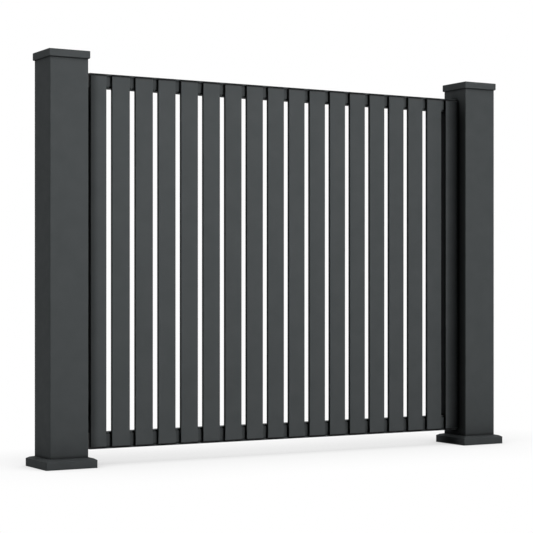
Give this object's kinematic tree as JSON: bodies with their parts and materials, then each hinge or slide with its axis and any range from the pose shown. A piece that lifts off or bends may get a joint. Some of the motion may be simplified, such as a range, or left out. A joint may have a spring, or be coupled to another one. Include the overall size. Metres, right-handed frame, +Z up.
{
  "type": "aluminium slat fence panel",
  "caption": "Powder-coated aluminium fence bay: a framed panel of upright flat slats with narrow gaps, between square capped posts with bevelled base skirts.",
  "frame": {"origin": "on the ground at the middle of the left post's foot plate, on its underside", "axes": "+X along the fence from the left post to the right one, +Y from the slatted front to the back, +Z up"},
  "size_m": [1.932, 0.188, 1.422],
  "materials": {
    "powder_coat": "matte anthracite grey powder coat on aluminium, with a fine even texture",
    "cover_plastic": "moulded black plastic"
  },
  "bodies": {
    "root": {"left_post": "powder_coat", "left_post_cap": "powder_coat", "left_foot_plate": "powder_coat", "left_base_skirt": "powder_coat", "right_post": "powder_coat", "right_post_cap": "powder_coat", "right_foot_plate": "powder_coat", "right_base_skirt": "powder_coat", "top_rail": "powder_coat", "bottom_rail": "powder_coat", "left_stile": "powder_coat", "right_stile": "powder_coat", "slat_01": "powder_coat", "slat_02": "powder_coat", "slat_03": "powder_coat", "slat_04": "powder_coat", "slat_05": "powder_coat", "slat_06": "powder_coat", "slat_07": "powder_coat", "slat_08": "powder_coat", "slat_09": "powder_coat", "slat_10": "powder_coat", "slat_11": "powder_coat", "slat_12": "powder_coat", "slat_13": "powder_coat", "slat_14": "powder_coat", "slat_15": "powder_coat", "slat_16": "powder_coat", "slat_17": "powder_coat", "slat_18": "powder_coat", "upper_left_bracket": "powder_coat", "upper_right_bracket": "powder_coat", "lower_left_bracket": "powder_coat", "lower_right_bracket": "powder_coat", "top_rail_left_end_cover": "cover_plastic", "top_rail_right_end_cover": "cover_plastic", "bottom_rail_left_end_cover": "cover_plastic", "bottom_rail_right_end_cover": "cover_plastic"}
  },
  "joints": []
}
